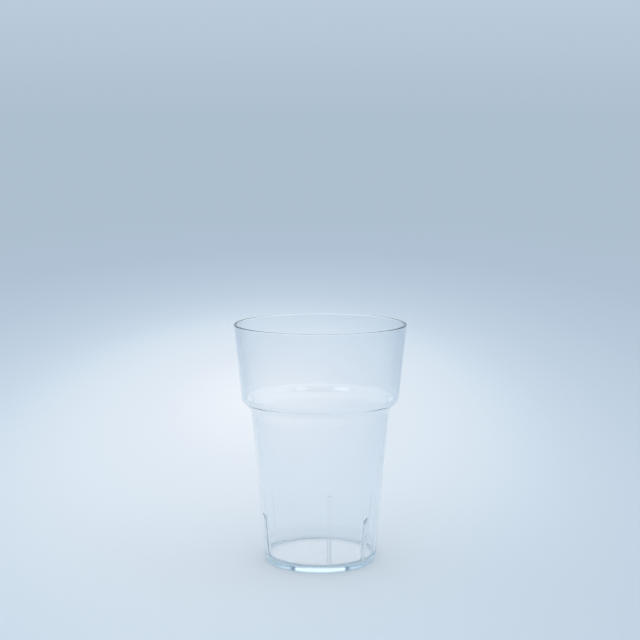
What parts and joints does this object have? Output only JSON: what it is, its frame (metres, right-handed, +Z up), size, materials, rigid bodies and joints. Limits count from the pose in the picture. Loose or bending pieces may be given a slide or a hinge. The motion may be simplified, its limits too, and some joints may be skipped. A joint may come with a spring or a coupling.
{
  "type": "plastic tumbler cup",
  "caption": "Clear stacking tumbler with a wide band at the rim, a rounded shoulder, a slim tapered body and short upright ribs inside above the floor.",
  "frame": {"origin": "centre of the foot, on the surface the tumbler stands on", "axes": "+Z up along the tumbler's axis, -Y towards the viewer, +X to the viewer's right; the first inner rib stands at 80 degrees from +X towards +Y"},
  "size_m": [0.076, 0.076, 0.106],
  "materials": {
    "clear_plastic": "clear, polished"
  },
  "bodies": {
    "root": {"tumbler": "clear_plastic"}
  },
  "joints": []
}
